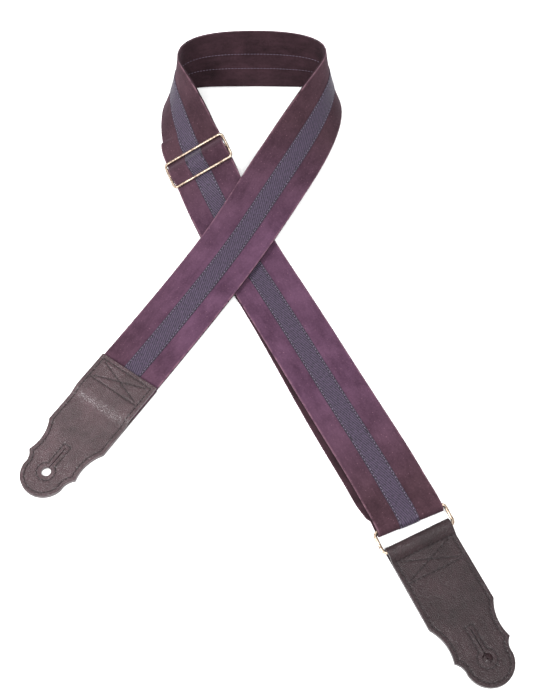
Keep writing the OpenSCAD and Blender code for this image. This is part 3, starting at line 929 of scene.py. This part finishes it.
def thicken(bm, thick, edge):
    bmesh.ops.recalc_face_normals(bm, faces=bm.faces)
    made = bmesh.ops.extrude_face_region(bm, geom=bm.faces[:])
    top = [g for g in made["geom"] if isinstance(g, bmesh.types.BMVert)]
    bmesh.ops.translate(bm, vec=(0, 0, thick), verts=top)
    bmesh.ops.recalc_face_normals(bm, faces=bm.faces)
    rim = [e for e in bm.edges if len(e.link_faces) == 2 and e.calc_face_angle() > 1.2
           and abs(e.verts[0].co.z - e.verts[1].co.z) < 1e-4]
    bmesh.ops.bevel(bm, geom=rim, offset=edge, offset_type="OFFSET", segments=3, profile=0.5,
                    affect="EDGES", material=-1, clamp_overlap=True)


def markCut(bm, thick):
    cut = bm.verts.layers.float.new("cutEdge")
    for v in bm.verts:
        v[cut] = 1.0 if 0.12 < v.co.z < thick - 0.12 else 0.0


furrow = {"depth": 0.2, "half": 0.8, "between": 0.3, "needle": 0.65, "needleDepth": 0.24}


class Sewing:
    # Where the needle went through a tab, for its dimples and furrows
    def __init__(self, run):
        self.run = run
        self.tree = kdtree.KDTree(len(run))
        for i, stitch in enumerate(run):
            self.tree.insert((*stitch[0], 0), i)
        self.tree.balance()

    def sink(self, x, y):
        # Depth of the furrow and the painted shade of the needle holes
        depth, dark = 0.0, 0.0
        for found in self.tree.find_n((x, y, 0), 2):
            i, distance = found[1:]
            if distance > tab["pitch"]:
                continue
            p, a = self.run[i]
            d = Vector((x, y)) - p
            along, side = d.x * cos(a) + d.y * sin(a), -d.x * sin(a) + d.y * cos(a)
            onThread = 1 if abs(along) < tab["pitch"] / 2 else furrow["between"]
            trough = furrow["depth"] * exp(-(side / furrow["half"]) ** 2) * onThread
            needle = exp(-((abs(along) - tab["pitch"] / 2) / furrow["needle"]) ** 2
                         - (side / furrow["needle"]) ** 2)
            depth, dark = max(depth, trough + furrow["needleDepth"] * needle), max(dark, needle)
        return depth, dark


def bendTab(key, x, y, z):
    # From flat leather to the tab as it lies, in the tab's own frame
    t = tabs[key]
    if t["roll"] and x < t["start"]:
        reach = barZ - leatherThick + z
        turned = (t["start"] - x) / (barZ - leatherThick / 2)
        return Vector((t["start"] - reach * sin(turned), y, barZ + reach * cos(turned)))
    base = stepZ(x, t["stepFrom"], t["high"], t["stepRun"])
    slope = (stepZ(x + 0.1, t["stepFrom"], t["high"], t["stepRun"]) - base) / 0.1
    length = sqrt(1 + slope * slope)
    return Vector((x - z * slope / length, y, base + z / length))


def placeTab(key, p):
    t = tabs[key]
    a = t["heading"]
    x, y = p.x * cos(a) - p.y * sin(a), p.x * sin(a) + p.y * cos(a)
    return Vector((t["origin"].x + x, t["origin"].y + y, p.z)) * mm


def topLeather(key):
    t = tabs[key]
    rollLength = pi * (barZ - leatherThick / 2) if t["roll"] else 0
    bm = tabGrid(t["start"] - rollLength, tab["grid"])
    thicken(bm, leatherThick, tab["edge"])
    storeFlat(bm)
    markCut(bm, leatherThick)
    needle = bm.verts.layers.float.new("needle")
    sewing = Sewing(edgeRun(t["rows"][0]) + boxRun(*t["rows"]) + holeRun())
    for v in bm.verts:
        x, y, z = v.co
        if z > leatherThick / 2:
            depth, dark = sewing.sink(x, y) if x > t["start"] else (0.0, 0.0)
            v[needle] = min(1, 1.2 * dark)
            z += 0.07 * noise.noise(Vector((x / 9, y / 9, 1.7))) - depth
        v.co = placeTab(key, bendTab(key, x, y, z))
    piece = finishPiece(key + "_tab_top_leather", bm, t["material"], t["body"])
    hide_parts(t["top"])


def closeHole(x, y, z):
    # The stiff new leather domes up into the hole of the tab above
    d = Vector((x - holeX, y))
    if d.length > button["reach"]:
        return Vector((x, y, z))
    share = (d.length - tab["holeR"]) / (button["reach"] - tab["holeR"])
    radius = button["left"] + max(0, share) * (button["reach"] - button["left"])
    lift = button["dome"] * max(0, 1 - (radius / (tab["holeR"] - 0.1)) ** 2)
    d = d * radius / max(d.length, 0.01)
    return Vector((holeX + d.x, d.y, z + lift))


def underLeather(key):
    t = tabs[key]
    bm = tabGrid(t["start"], 2.5 if key == "fixed" else 1.2)
    thicken(bm, leatherThick, tab["edge"])
    storeFlat(bm)
    markCut(bm, leatherThick)
    bm.verts.layers.float.new("needle")
    for v in bm.verts:
        v.co = placeTab(key, closeHole(*v.co) if key == "free" else v.co)
    piece = finishPiece(key + "_tab_under_leather", bm, t["material"], t["body"])
    if key == "fixed":
        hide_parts("fixed_tab_bottom")


def tabStitches(key):
    t = tabs[key]
    runs = {"edge": edgeRun(t["rows"][0]), "box": boxRun(*t["rows"]), "hole": holeRun()}
    for name, run in runs.items():
        bm = bmesh.new()
        for p, a in run:
            zHere = bendTab(key, p.x, p.y, leatherThick)
            zNext = bendTab(key, p.x + 0.2, p.y, leatherThick)
            slope = (zNext.z - zHere.z) / 0.2 * cos(a)
            addStitch(bm, zHere - Vector((0, 0, 0.1)), a, (tab["pitch"] * 0.72, 0.75, 0.62), atan2(slope, 1))
        for v in bm.verts:
            v.co = placeTab(key, v.co)
        piece = finishPiece("%s_tab_%s_stitches" % (key, name), bm, tabThread, t["body"])
        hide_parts("%s_tab_%s_thread" % (key, name))


for key in tabs:
    topLeather(key)
    underLeather(key)
    tabStitches(key)
print("end tabs made")


# ---- Hardware keeps the frame's shapes
for name in ("slider_frame", "slider_bar", "ring"):
    wire = frame["nodes"][name]
    wire.data.materials.clear()
    wire.data.materials.append(wireBrass)
    wire.data.shade_smooth()


# ---- Stage, lights and camera
def makeStage():
    material, shader, surface = newMaterial("paperFloor", (0.9, 0.9, 0.9))
    tooth = shader.noise(objectPlace(shader), 300, 3)
    pale = shader.mix(shader.between(tooth, 0.3, 0.7), (0.90, 0.90, 0.90, 1), (0.93, 0.93, 0.93, 1))
    shader.tree.links.new(pale, surface.inputs["Base Color"])
    surface.inputs["Roughness"].default_value = 0.9
    surface.inputs["Specular IOR Level"].default_value = 0.1
    bm = bmesh.new()
    bmesh.ops.create_grid(bm, x_segments=4, y_segments=4, size=3)
    bmesh.ops.translate(bm, vec=(0, 0, cadBox[0][2] - 0.0002), verts=bm.verts)
    floorPiece = finishPiece("floor", bm, material)


lights = {
    "overhead": {"place": (0.3, -0.75, 1.45), "size": 1.2, "watts": 36},
    "window": {"place": (-0.55, 0.9, 1.3), "size": 0.6, "watts": 9},
    "left": {"place": (-0.85, -0.4, 0.92), "size": 0.22, "watts": 20},
}


def makeLights():
    for name, facts in lights.items():
        data = bpy.data.lights.new(name, "AREA")
        data.shape = "SQUARE"
        data.size = facts["size"]
        data.energy = facts["watts"]
        lamp = bpy.data.objects.new(name, data)
        lamp.location = facts["place"]
        lamp.rotation_euler = (-Vector(facts["place"])).to_track_quat("-Z", "Y").to_euler()
        bpy.context.scene.collection.objects.link(lamp)
    world = bpy.data.worlds.new("studio")
    bpy.context.scene.world = world
    world.use_nodes = True
    world.node_tree.nodes["Background"].inputs["Color"].default_value = (1, 1, 1, 1)
    world.node_tree.nodes["Background"].inputs["Strength"].default_value = 0.75


view = {"elevation": 62, "distance": 0.946, "lens": 64.8}


def makeCamera():
    data = bpy.data.cameras.new("camera")
    data.lens = view["lens"]
    data.sensor_width = 36
    camera = bpy.data.objects.new("camera", data)
    target = Vector((*band["place"], 0)) * mm
    tilt = radians(view["elevation"])
    camera.location = target + view["distance"] * Vector((0, -cos(tilt), sin(tilt)))
    camera.rotation_euler = (pi / 2 - tilt, 0, 0)
    bpy.context.scene.collection.objects.link(camera)
    bpy.context.scene.camera = camera
    bpy.context.scene.view_settings.view_transform = "Standard"


makeStage()
makeLights()
makeCamera()
print("stage ready")
